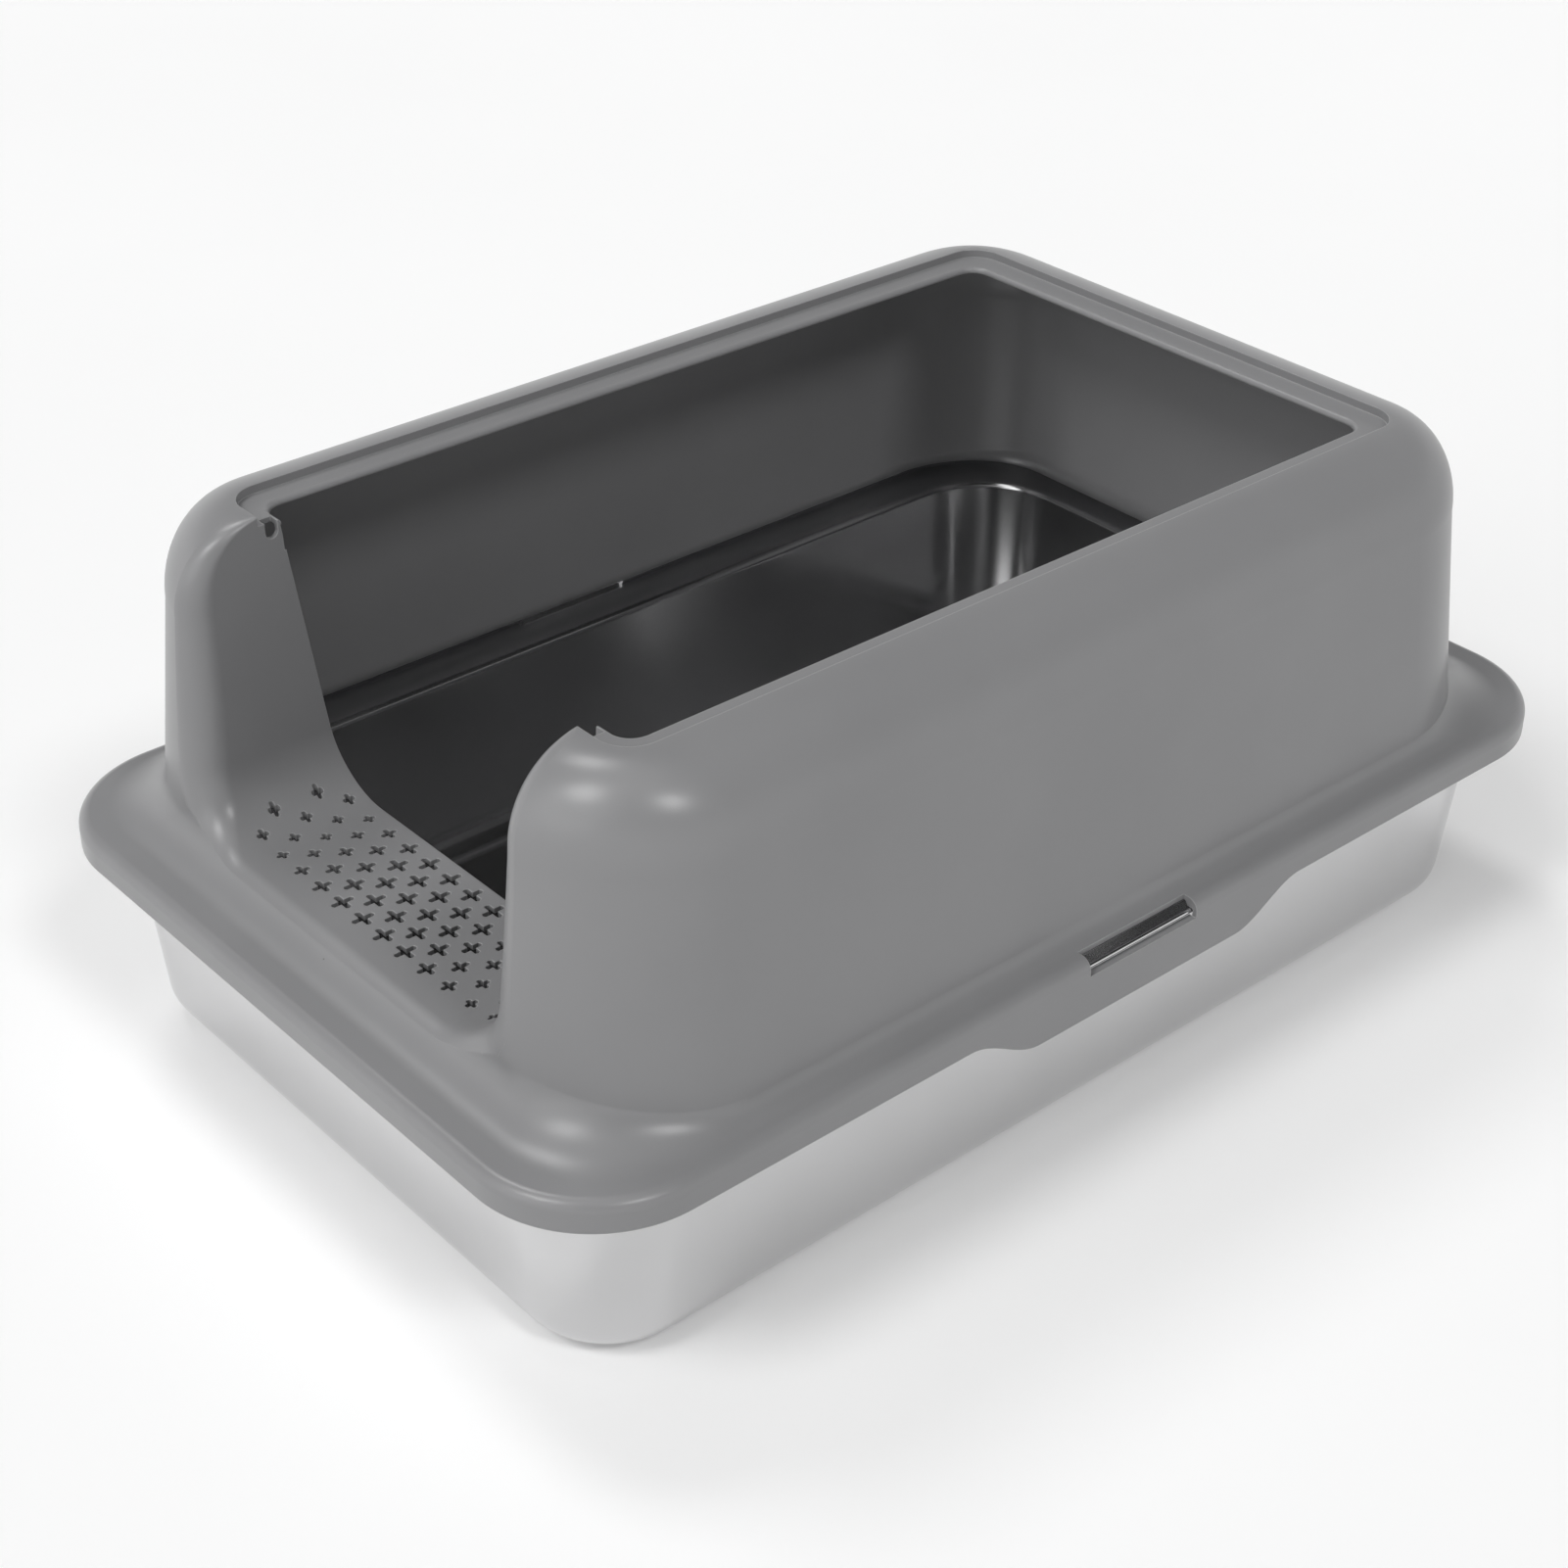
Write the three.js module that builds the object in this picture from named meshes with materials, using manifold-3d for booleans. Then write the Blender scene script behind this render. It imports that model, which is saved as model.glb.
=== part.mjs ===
// A litter box in two main pieces: a pressed stainless steel pan, and a one-piece plastic
// enclosure that drops over its rim and snaps on with a tab at each long side.
// Millimetres, +Z up. X runs across the box and Y along it, with the entrance at -Y.
// Heights are counted from the underside of the pan, and the feet lift everything off the floor.
import * as THREE from "three";
import { mergeVertices } from "three/addons/utils/BufferGeometryUtils.js";
import Module from "manifold-3d";

const degrees = THREE.MathUtils.degToRad;

// The box's outline from above.
const boxWidth = 396;
const boxLength = 600;

// Steel pan.
const sheet = 0.8;
const panFootCorner = 39.6;
const panFloorFillet = 18;
const panDraft = degrees(5.13);
const mouthHeight = 92;
const mouthFillet = 1.6;
const flangeReachX = 15;
const flangeReachY = 15.7;
const flangeCornerGrowth = 13.5;
const flangeSlope = degrees(31.5);
const beadRadius = 1.1;

// Rubber feet stuck under the pan.
const footRadius = 11;
const footHeight = 1.2;
const footChamfer = 0.4;
const footInset = 30;

// Plastic enclosure, from the skirt up.
const wall = 2.4;
const fitGap = 0.35;
const skirtCorner = 57;
const skirtDepth = 13.6;
const skirtEdgeRadius = 5.5;
const seatThickness = 4.6;
const seatWidth = 3;
const seatFillet = 0.7;
const shoulderSideX = 15.8;
const shoulderEndY = 33.7;
const rootFilletSide = 9;
const rootFilletEnd = 20;
const wallCorner = 68.5;
const crownCorner = 12;
const wallDraft = degrees(4.57);
const wallRise = 145.3;
const crownRadius = 38.6;
const wallsForward = 1.6;

// Top opening with the rebate round it that takes a cover.
const rebateDepth = 4;
const rebateFromCrown = 0.1;
const rebateCorner = 15;
const ledgeWidthX = 11.8;
const ledgeWidthY = 13;
const ledgeThickness = 2.5;
const lipRadius = 2;
const openingCorner = 9;
const openingForward = 2;

// Entrance channel through the front wall.
const stepRise = 9.8;
const stepFlatX = 71.6;
const stepFillet = 31;
const stepInnerY = 197;
const jambDraft = degrees(3.2);
const jambLean = degrees(6.6);
const flareAtStep = 16;
const flareAtTop = 9;

// Notch in the top of each jamb.
const notchWidth = 6;
const notchDepth = 7.4;
const notchFromOpening = 5;
const notchBite = 1.6;

// Cross-shaped holes in the step.
const holePitchX = 15.25;
const holePitchY = 10.9;
const holeRows = 5;
const holesInLongRow = 13;
const holeRowsFromEdge = 8.5;
const crossSpan = 10.8;
const crossArm = 2.7;
const fullSizeUpToShare = 0.3;
const smallestFromShare = 0.75;
const smallestShare = 0.56;

// Snap tab, slot window and hook on each long side.
const tabDrop = 15.6;
const tabFlatY = 60;
const tabShoulderY = 100;
const tabEase = 17;
const slotHalfY = 32.3;
const slotSillRise = 5.5;
const slotDepthX = 8;
const hookReach = 1.6;
const hookHeight = 4;

// Overrun of every cut, and the small bite that makes a blend cross the face it runs into.
const overrun = 12;
const blendBite = 0.06;
const widestTurn = degrees(100);

// Steps of the curves.
const cornerSteps = 9;
const arcSteps = 6;
const crownSteps = 8;
const smallArcSteps = 3;
const beadSteps = 6;
const flareSteps = 5;
const footSteps = 28;
const blendPasses = 24;

// Sizes that follow from the ones above, from the outside inwards. The pan's foot is where its
// walls would meet the floor if nothing were rounded.
const skirtX = boxWidth / 2;
const skirtY = boxLength / 2;
const skirtInnerX = skirtX - wall;
const skirtInnerY = skirtY - wall;
const panMouthX = skirtInnerX - fitGap - beadRadius - flangeReachX;
const panMouthY = skirtInnerY - fitGap - beadRadius - flangeReachY;
const panFootX = panMouthX - mouthHeight * Math.tan(panDraft);
const panFootY = panMouthY - mouthHeight * Math.tan(panDraft);
const beadHeight = mouthHeight + flangeReachX * Math.tan(flangeSlope);
const seatHeight = beadHeight + beadRadius + fitGap;
const shoulderHeight = seatHeight + seatThickness;
const skirtFoot = shoulderHeight - skirtDepth;
const wallRootX = skirtX - shoulderSideX;
const wallRootY = skirtY - shoulderEndY;
const crownHeight = shoulderHeight + wallRise;
const crownStart = crownHeight - crownRadius;
const ledgeHeight = crownHeight - rebateDepth;
const ceilingHeight = ledgeHeight - ledgeThickness;
const stepHeight = shoulderHeight + stepRise;
const crownStartX = wallRootX - (crownStart - shoulderHeight - rootFilletSide) * Math.tan(wallDraft);
const crownStartY = wallRootY - (crownStart - shoulderHeight - rootFilletEnd) * Math.tan(wallDraft);
const crownCornerShare = (wallCorner - crownCorner) / crownRadius;
const rebateX = crownStartX - crownRadius - rebateFromCrown;
const rebateY = crownStartY - crownRadius - rebateFromCrown;
const openingX = rebateX - ledgeWidthX;
const openingY = rebateY - ledgeWidthY + openingForward / 2;
const openingShift = wallsForward + openingForward / 2;

const wasm = await Module();
wasm.setup();

const steel = new THREE.MeshStandardMaterial({ color: 0xc9cbcc, metalness: 1, roughness: 0.34 });
const greyPlastic = new THREE.MeshStandardMaterial({ color: 0x858688, metalness: 0, roughness: 0.42 });
const rubber = new THREE.MeshStandardMaterial({ color: 0x2b2c2e, metalness: 0, roughness: 0.8 });

// A closed rounded rectangle, anticlockwise from above. Its height may differ between the
// long sides and the ends, and then it eases from one to the other round each corner.
function ring({ x, y, corner, side, end = side, forward = 0 }) {
  const points = [];
  for (let quarter = 0; quarter < 4; quarter++) {
    const signX = quarter === 0 || quarter === 3 ? 1 : -1;
    const signY = quarter < 2 ? 1 : -1;
    for (let step = 0; step <= cornerSteps; step++) {
      const angle = (quarter + step / cornerSteps) * (Math.PI / 2);
      const endShare = Math.sin(angle) ** 2;
      points.push(new THREE.Vector3(
        signX * (x - corner) + corner * Math.cos(angle),
        signY * (y - corner) + corner * Math.sin(angle) - forward,
        side * (1 - endShare) + end * endShare,
      ));
    }
  }
  return points;
}

// A closed skin through rings of equal counts, with a fan over the first and the last one.
function loft(rings) {
  const count = rings[0].length;
  const corners = rings.flat();
  const faces = [];
  for (let level = 0; level < rings.length - 1; level++) {
    for (let i = 0; i < count; i++) {
      const here = level * count + i;
      const next = level * count + ((i + 1) % count);
      faces.push(here, next, next + count, here, next + count, here + count);
    }
  }
  const lastStart = (rings.length - 1) * count;
  const middles = [rings[0], rings.at(-1)].map((points) => {
    const sum = points.reduce((total, point) => total.add(point), new THREE.Vector3());
    return sum.divideScalar(count);
  });
  corners.push(...middles);
  const firstMiddle = rings.length * count;
  const lastMiddle = firstMiddle + 1;
  for (let i = 0; i < count; i++) {
    const next = (i + 1) % count;
    faces.push(firstMiddle, next, i);
    faces.push(lastMiddle, lastStart + i, lastStart + next);
  }
  const geometry = new THREE.BufferGeometry();
  geometry.setFromPoints(corners);
  geometry.setIndex(faces);
  return geometry;
}

// The solid of a closed geometry, ready to be joined or cut.
function solidOf(geometry) {
  const bare = geometry.clone();
  bare.deleteAttribute("normal");
  bare.deleteAttribute("uv");
  const merged = mergeVertices(bare);
  return new wasm.Manifold(new wasm.Mesh({
    numProp: 3,
    vertProperties: merged.attributes.position.array,
    triVerts: new Uint32Array(merged.index.array),
  }));
}

function namedMesh(name, solid, material) {
  const { vertProperties, triVerts } = solid.getMesh();
  const geometry = new THREE.BufferGeometry();
  geometry.setAttribute("position", new THREE.BufferAttribute(vertProperties, 3));
  geometry.setIndex(new THREE.BufferAttribute(triVerts, 1));
  const mesh = new THREE.Mesh(geometry, material);
  mesh.name = name;
  return mesh;
}

// Points of an arc in a profile, as how far out and how high each one lies.
function arc(centreOut, centreHigh, radius, from, to, steps) {
  return Array.from({ length: steps + 1 }, (_, step) => {
    const angle = from + (to - from) * (step / steps);
    return { out: centreOut + radius * Math.cos(angle), high: centreHigh + radius * Math.sin(angle) };
  });
}

// One side of the pan's sheet, from the middle of the floor to the root of the bead. The
// inner side is the outer one moved in by the sheet.
function panSkin(inward) {
  const fillet = panFloorFillet - inward;
  const centreOut = panFloorFillet * Math.tan(panDraft) - panFloorFillet / Math.cos(panDraft);
  const bend = arc(centreOut, panFloorFillet, fillet, -Math.PI / 2, -panDraft, arcSteps);
  const crease = mouthFillet + inward;
  const creaseOut = mouthHeight * Math.tan(panDraft) - inward / Math.cos(panDraft);
  const under = [
    { out: creaseOut - crease * Math.sin(panDraft), high: mouthHeight - crease },
    {
      out: creaseOut + crease * Math.cos(flangeSlope),
      high: mouthHeight + crease * Math.sin(flangeSlope) + inward * Math.tan(flangeSlope),
    },
  ];
  return [...bend, ...under];
}

function steelPan() {
  const rimOut = mouthHeight * Math.tan(panDraft);
  const place = ({ out, high }) => {
    const reach = Math.max(0, out - rimOut) / flangeReachX;
    const extraY = reach * (flangeReachY - flangeReachX);
    const extraCorner = reach * (flangeCornerGrowth - flangeReachX);
    return ring({
      x: panFootX + out,
      y: panFootY + out + extraY,
      corner: panFootCorner + out + extraCorner,
      side: high,
    });
  };
  const rollOut = rimOut + flangeReachX;
  const rootAngle = Math.asin(sheet / 2 / beadRadius);
  const roll = arc(
    rollOut, beadHeight, beadRadius,
    flangeSlope - Math.PI + rootAngle, flangeSlope + Math.PI - rootAngle, beadSteps,
  );
  const profile = [...panSkin(0), ...roll, ...panSkin(sheet).reverse()];
  return namedMesh("steel_pan", solidOf(loft(profile.map(place))), steel);
}

function footPad(name, x, y) {
  const profile = [
    new THREE.Vector2(0, 0),
    new THREE.Vector2(footRadius - footChamfer, 0),
    new THREE.Vector2(footRadius, footChamfer),
    new THREE.Vector2(footRadius, footHeight),
    new THREE.Vector2(0, footHeight),
  ];
  const disc = new THREE.LatheGeometry(profile, footSteps);
  disc.rotateX(Math.PI / 2);
  const pad = namedMesh(name, solidOf(disc), rubber);
  pad.position.set(x, y, -footHeight);
  return pad;
}

function footPads() {
  const x = panFootX - panFloorFillet - footInset;
  const y = panFootY - panFloorFillet - footInset;
  const places = [[x, y], [-x, y], [-x, -y], [x, -y]];
  return places.map(([padX, padY], index) => footPad(`foot_pad_${index + 1}`, padX, padY));
}

// The body of the enclosure as a stack of rings, moved in by a wall for the hollow.
// Long sides and ends have the same steps but their own root fillets.
function wallRings(inward) {
  const rings = [];
  const sideRadius = rootFilletSide + inward;
  const endRadius = rootFilletEnd + inward;
  const shoulderCorner = skirtCorner - skirtEdgeRadius;
  for (let step = 0; step <= arcSteps; step++) {
    const angle = -Math.PI / 2 - (step / arcSteps) * (Math.PI / 2);
    const share = 1 - Math.cos((step / arcSteps) * (Math.PI / 2));
    rings.push(ring({
      x: wallRootX + rootFilletSide + sideRadius * Math.cos(angle),
      y: wallRootY + rootFilletEnd + endRadius * Math.cos(angle),
      corner: shoulderCorner + (wallCorner - shoulderCorner) * share - inward,
      side: shoulderHeight + rootFilletSide + sideRadius * Math.sin(angle),
      end: shoulderHeight + rootFilletEnd + endRadius * Math.sin(angle),
      forward: wallsForward * share,
    }));
  }
  const crown = arc(-crownRadius, crownStart, crownRadius - inward, 0, Math.PI / 2, crownSteps);
  for (const { out, high } of crown) {
    rings.push(ring({
      x: crownStartX + out,
      y: crownStartY + out,
      corner: wallCorner - inward + (out + inward) * crownCornerShare,
      side: high,
      forward: wallsForward,
    }));
  }
  return rings;
}

function outerBody() {
  const edgeOut = -skirtEdgeRadius;
  const edge = arc(edgeOut, shoulderHeight - skirtEdgeRadius, skirtEdgeRadius, 0, Math.PI / 2, arcSteps);
  const skirt = [{ out: 0, high: skirtFoot }, ...edge].map(({ out, high }) => ring({
    x: skirtX + out,
    y: skirtY + out,
    corner: skirtCorner + out,
    side: high,
  }));
  return solidOf(loft([...skirt, ...wallRings(0)]));
}

function innerHollow() {
  const skirt = [
    { out: 0, high: skirtFoot - overrun },
    { out: 0, high: seatHeight - seatFillet },
    { out: -seatFillet, high: seatHeight },
    { out: -seatWidth, high: seatHeight },
  ].map(({ out, high }) => ring({
    x: skirtInnerX + out,
    y: skirtInnerY + out,
    corner: skirtCorner - wall + out,
    side: high,
  }));
  const walls = wallRings(wall).map((points) => points.map((point) => {
    point.z = Math.min(point.z, ceilingHeight);
    return point;
  }));
  return solidOf(loft([...skirt, ...walls]));
}

// How far forward the front wall stands at a place across it and a height.
function frontReach(x, height) {
  const rootTop = shoulderHeight + rootFilletEnd;
  const slope = Math.tan(wallDraft);
  let reach = wallRootY - Math.max(0, Math.min(height, crownStart) - rootTop) * slope;
  let half = wallRootX - Math.max(0, Math.min(height, crownStart) - rootTop) * slope;
  let corner = wallCorner;
  if (height < rootTop) {
    const below = Math.min(rootFilletEnd, rootTop - height);
    reach += rootFilletEnd - Math.sqrt(rootFilletEnd ** 2 - below ** 2);
  }
  if (height > crownStart) {
    const above = Math.min(crownRadius, height - crownStart);
    const drawnIn = crownRadius - Math.sqrt(crownRadius ** 2 - above ** 2);
    reach -= drawnIn;
    half -= drawnIn;
    corner -= drawnIn * crownCornerShare;
  }
  const past = Math.min(corner, Math.max(0, Math.abs(x) - (half - corner)));
  return reach + wallsForward - corner + Math.sqrt(corner ** 2 - past ** 2);
}

// The U of the channel as places on its face, each with the direction out of the channel.
// They run up the right jamb, across above the box, down the left jamb and along the step.
function channelOutline() {
  const centreHeight = stepHeight + stepFillet;
  const right = [];
  for (let step = 0; step <= arcSteps; step++) {
    const angle = -Math.PI / 2 + (step / arcSteps) * (Math.PI / 2 - jambDraft);
    const normal = new THREE.Vector2(Math.cos(angle), Math.sin(angle));
    right.push({ place: new THREE.Vector2(stepFlatX, centreHeight).addScaledVector(normal, stepFillet), normal });
  }
  const { place: jambFoot, normal: jambNormal } = right.at(-1);
  const crownLevels = Array.from({ length: crownSteps }, (_, step) => (
    crownStart + crownRadius * Math.sin((step / crownSteps) * (Math.PI / 2))
  ));
  for (const height of [...crownLevels, crownHeight, crownHeight + overrun]) {
    const across = jambFoot.x + (height - jambFoot.y) * Math.tan(jambDraft);
    right.push({ place: new THREE.Vector2(across, height), normal: jambNormal });
  }
  const left = right.map(({ place, normal }) => ({
    place: new THREE.Vector2(-place.x, place.y),
    normal: new THREE.Vector2(-normal.x, normal.y),
  }));
  return [...right, ...left.reverse()];
}

// The flare's radius and where it starts and how far it turns at one place of the channel, so
// that it runs into the front wall or its root fillet in line with it. The turn is found by
// halving.
function flareAt({ place, normal }) {
  const rise = THREE.MathUtils.clamp((place.y - stepHeight) / (ledgeHeight - stepHeight), 0, 1);
  const radius = flareAtStep + (flareAtTop - flareAtStep) * rise ** 2;
  const room = normal.y < 0 ? (place.y - shoulderHeight) / -normal.y : Infinity;
  let least = 0;
  let most = room < radius ? Math.acos(1 - room / radius) : widestTurn;
  let end = place;
  for (let pass = 0; pass < blendPasses; pass++) {
    const turn = (least + most) / 2;
    end = place.clone().addScaledVector(normal, radius * (1 - Math.cos(turn)));
    const beyond = end.clone().addScaledVector(normal, blendBite);
    const slope = (frontReach(beyond.x, beyond.y) - frontReach(end.x, end.y)) / blendBite;
    if (turn < Math.atan2(1, slope)) {
      least = turn;
    } else {
      most = turn;
    }
  }
  const start = frontReach(end.x, end.y) - blendBite - radius * Math.sin(most);
  return { radius, start, turn: most };
}

// The channel as a solid, or grown by a wall for the plastic round it. It is a U carried
// forward, which flares out to the front wall like the bell of a trumpet.
function channel(grown, innerEnd) {
  const outline = channelOutline();
  const flares = outline.map(flareAt);
  const innerRing = outline.map(({ place, normal }) => {
    const spot = place.clone().addScaledVector(normal, grown);
    return new THREE.Vector3(spot.x, innerEnd(spot.y), spot.y);
  });
  const rings = [innerRing];
  for (let step = 0; step <= flareSteps; step++) {
    rings.push(outline.map(({ place, normal }, index) => {
      const { radius, start, turn } = flares[index];
      const angle = turn * (step / flareSteps);
      const spread = radius - (radius - grown) * Math.cos(angle);
      const spot = place.clone().addScaledVector(normal, spread);
      return new THREE.Vector3(spot.x, -start - (radius - grown) * Math.sin(angle), spot.y);
    }));
  }
  rings.push(rings.at(-1).map(({ x, z }) => new THREE.Vector3(x, -skirtY - overrun, z)));
  return solidOf(loft(rings));
}

const freeEdge = (height) => -stepInnerY - (height - stepHeight) * Math.tan(jambLean);

function rebate() {
  const size = { x: rebateX, y: rebateY, corner: rebateCorner, forward: wallsForward };
  return solidOf(loft([ledgeHeight, crownHeight + overrun].map((side) => ring({ ...size, side }))));
}

function topOpening() {
  const lip = arc(lipRadius, ledgeHeight - lipRadius, lipRadius, Math.PI, Math.PI / 2, smallArcSteps);
  const profile = [
    { out: 0, high: ceilingHeight - overrun },
    ...lip,
    { out: lipRadius, high: crownHeight + overrun },
  ];
  return solidOf(loft(profile.map(({ out, high }) => ring({
    x: openingX + out,
    y: openingY + out,
    corner: openingCorner + out,
    side: high,
    forward: openingShift,
  }))));
}

// An outline drawn along Y and Z, carried along X from one place to another.
function alongX(shape, from, to) {
  const geometry = new THREE.ExtrudeGeometry(shape, {
    depth: to - from,
    bevelEnabled: false,
    curveSegments: arcSteps,
  });
  const axes = new THREE.Matrix4().makeBasis(
    new THREE.Vector3(0, 1, 0), new THREE.Vector3(0, 0, 1), new THREE.Vector3(1, 0, 0),
  );
  return geometry.applyMatrix4(axes).translate(from, 0, 0);
}

function jambNotches() {
  const jambTop = channelOutline().find(({ place }) => place.y >= crownHeight).place.x;
  const middle = -openingY - openingShift - notchFromOpening;
  const bottom = ledgeHeight - notchDepth;
  const half = notchWidth / 2;
  const shape = new THREE.Shape();
  shape.moveTo(middle + half, crownHeight + overrun);
  shape.lineTo(middle - half, crownHeight + overrun);
  shape.lineTo(middle - half, bottom + half);
  shape.absarc(middle, bottom + half, half, Math.PI, 2 * Math.PI, false);
  shape.closePath();
  const inner = jambTop - overrun;
  const outer = jambTop + wall + notchBite;
  return solidOf(alongX(shape, inner, outer)).add(solidOf(alongX(shape, -outer, -inner)));
}

function crossHole(x, y, share) {
  const arm = (crossArm / 2) * (1 + share) / 2;
  const tip = (crossSpan / 2) * share;
  const points = [];
  for (let quarter = 0; quarter < 4; quarter++) {
    const turn = (quarter * Math.PI) / 2;
    for (const [along, across] of [[arm, -arm], [tip - arm / 2, -arm], [tip, 0], [tip - arm / 2, arm]]) {
      points.push(new THREE.Vector2(along, across).rotateAround(new THREE.Vector2(), turn));
    }
  }
  const depth = stepFillet + overrun;
  const geometry = new THREE.ExtrudeGeometry(new THREE.Shape(points), { depth, bevelEnabled: false });
  return geometry.translate(x, y, stepHeight - overrun);
}

// Staggered rows of crosses, which shrink towards the jambs.
function stepHoles() {
  const holes = [];
  const widest = ((holesInLongRow - 1) / 2) * holePitchX;
  for (let row = 0; row < holeRows; row++) {
    const count = row % 2 === 0 ? holesInLongRow - 1 : holesInLongRow;
    const y = -stepInnerY - holeRowsFromEdge - (holeRows - 1 - row) * holePitchY;
    for (let column = 0; column < count; column++) {
      const x = (column - (count - 1) / 2) * holePitchX;
      const outward = (Math.abs(x) / widest - fullSizeUpToShare) / (smallestFromShare - fullSizeUpToShare);
      const share = THREE.MathUtils.clamp(1 - (1 - smallestShare) * outward, smallestShare, 1);
      holes.push(solidOf(crossHole(x, y, share)));
    }
  }
  return holes.reduce((all, hole) => all.add(hole));
}

// The skirt's drop in the middle of a long side, which fingers pull out to free the hook.
function snapTab() {
  const shape = new THREE.Shape();
  const top = skirtFoot + wall;
  const bottom = skirtFoot - tabDrop;
  shape.moveTo(-tabShoulderY, top);
  shape.lineTo(-tabShoulderY, skirtFoot);
  shape.bezierCurveTo(-tabShoulderY + tabEase, skirtFoot, -tabFlatY - tabEase, bottom, -tabFlatY, bottom);
  shape.lineTo(tabFlatY, bottom);
  shape.bezierCurveTo(tabFlatY + tabEase, bottom, tabShoulderY - tabEase, skirtFoot, tabShoulderY, skirtFoot);
  shape.lineTo(tabShoulderY, top);
  shape.closePath();
  return alongX(shape, skirtInnerX, skirtX);
}

// A wedge under the steel bead, as long as the slot window that shows it.
function snapHook() {
  const sill = skirtFoot + slotSillRise;
  const shape = new THREE.Shape();
  shape.moveTo(skirtInnerX - hookReach, sill);
  shape.lineTo(skirtInnerX, sill - hookHeight);
  shape.lineTo(skirtX - wall / 2, sill - hookHeight);
  shape.lineTo(skirtX - wall / 2, sill);
  shape.closePath();
  const geometry = new THREE.ExtrudeGeometry(shape, { depth: 2 * slotHalfY, bevelEnabled: false });
  const axes = new THREE.Matrix4().makeBasis(
    new THREE.Vector3(1, 0, 0), new THREE.Vector3(0, 0, 1), new THREE.Vector3(0, -1, 0),
  );
  return geometry.applyMatrix4(axes).translate(0, slotHalfY, 0);
}

function slotWindow() {
  const height = shoulderHeight + overrun - skirtFoot - slotSillRise;
  const box = new THREE.BoxGeometry(slotDepthX + overrun, 2 * slotHalfY, height);
  const middle = skirtX - slotDepthX + (slotDepthX + overrun) / 2;
  return box.translate(middle, 0, skirtFoot + slotSillRise + height / 2);
}

// The same feature on the right and, turned half round, on the left.
function onBothSides(geometry) {
  return solidOf(geometry).add(solidOf(geometry.clone().rotateZ(Math.PI)));
}

function enclosure() {
  const channelPlastic = channel(wall, freeEdge);
  const hollow = innerHollow().subtract(channelPlastic);
  const body = outerBody()
    .subtract(channel(0, () => -stepInnerY + overrun))
    .subtract(hollow)
    .subtract(rebate())
    .subtract(topOpening())
    .subtract(jambNotches())
    .subtract(stepHoles())
    .add(onBothSides(snapTab()))
    .add(onBothSides(snapHook()))
    .subtract(onBothSides(slotWindow()));
  return namedMesh("enclosure", body, greyPlastic);
}

const litterBox = new THREE.Group();
litterBox.add(steelPan(), ...footPads(), enclosure());
litterBox.position.z = footHeight;

export default litterBox;
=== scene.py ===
# %% [markdown]
# # A steel litter pan under a moulded plastic enclosure
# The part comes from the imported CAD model, which fixes every size and place. This lesson
# dresses it: it works the two large pieces out again as fine, smooth surfaces, gives each
# surface a finish made of nodes, and lights it like a plain product picture.
# We work in millimetres while we shape, and hand metres to Blender at the very end.

import bpy
import numpy as np
from mathutils import Matrix


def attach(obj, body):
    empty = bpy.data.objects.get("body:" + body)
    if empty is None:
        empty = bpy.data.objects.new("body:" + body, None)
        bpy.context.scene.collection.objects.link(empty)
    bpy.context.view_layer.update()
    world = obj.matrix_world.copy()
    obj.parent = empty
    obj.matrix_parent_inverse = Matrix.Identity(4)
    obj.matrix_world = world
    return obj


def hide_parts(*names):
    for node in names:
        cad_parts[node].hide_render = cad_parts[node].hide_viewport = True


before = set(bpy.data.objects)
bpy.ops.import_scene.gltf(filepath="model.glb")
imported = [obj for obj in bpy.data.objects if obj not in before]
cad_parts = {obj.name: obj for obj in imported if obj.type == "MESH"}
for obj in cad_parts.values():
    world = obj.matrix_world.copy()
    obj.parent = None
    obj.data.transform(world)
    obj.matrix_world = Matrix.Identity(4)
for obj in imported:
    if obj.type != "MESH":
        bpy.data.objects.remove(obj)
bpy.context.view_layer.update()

# %% [markdown]
# ## The sizes
# These are the driving sizes of the CAD source, so that both models agree. Only the crease
# at the pan's mouth is a little rounder here. Heights count from the underside of the pan,
# and the rubber feet lift everything by their own thickness.

# %% Sizes of the steel pan
METRE = 0.001
BOX_WIDTH = 396.0
BOX_LENGTH = 600.0
SHEET = 0.8
PAN_FOOT_CORNER = 39.6
PAN_FLOOR_FILLET = 18.0
PAN_DRAFT = np.radians(5.13)
MOUTH_HEIGHT = 92.0
MOUTH_FILLET = 2.2
FLANGE_REACH_X = 15.0
FLANGE_REACH_Y = 15.7
FLANGE_CORNER_GROWTH = 13.5
FLANGE_SLOPE = np.radians(31.5)
BEAD_RADIUS = 1.1
FOOT_HEIGHT = 1.2

WALL = 2.4
FIT_GAP = 0.35

MOUTH_OUT = MOUTH_HEIGHT * np.tan(PAN_DRAFT)
BEAD_X = BOX_WIDTH / 2 - WALL - FIT_GAP - BEAD_RADIUS
BEAD_Y = BOX_LENGTH / 2 - WALL - FIT_GAP - BEAD_RADIUS
PAN_FOOT_X = BEAD_X - FLANGE_REACH_X - MOUTH_OUT
PAN_FOOT_Y = BEAD_Y - FLANGE_REACH_Y - MOUTH_OUT
BEAD_HEIGHT = MOUTH_HEIGHT + FLANGE_REACH_X * np.tan(FLANGE_SLOPE)
print("bead at", round(BEAD_X, 2), round(BEAD_Y, 2), round(BEAD_HEIGHT, 2))

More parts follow.
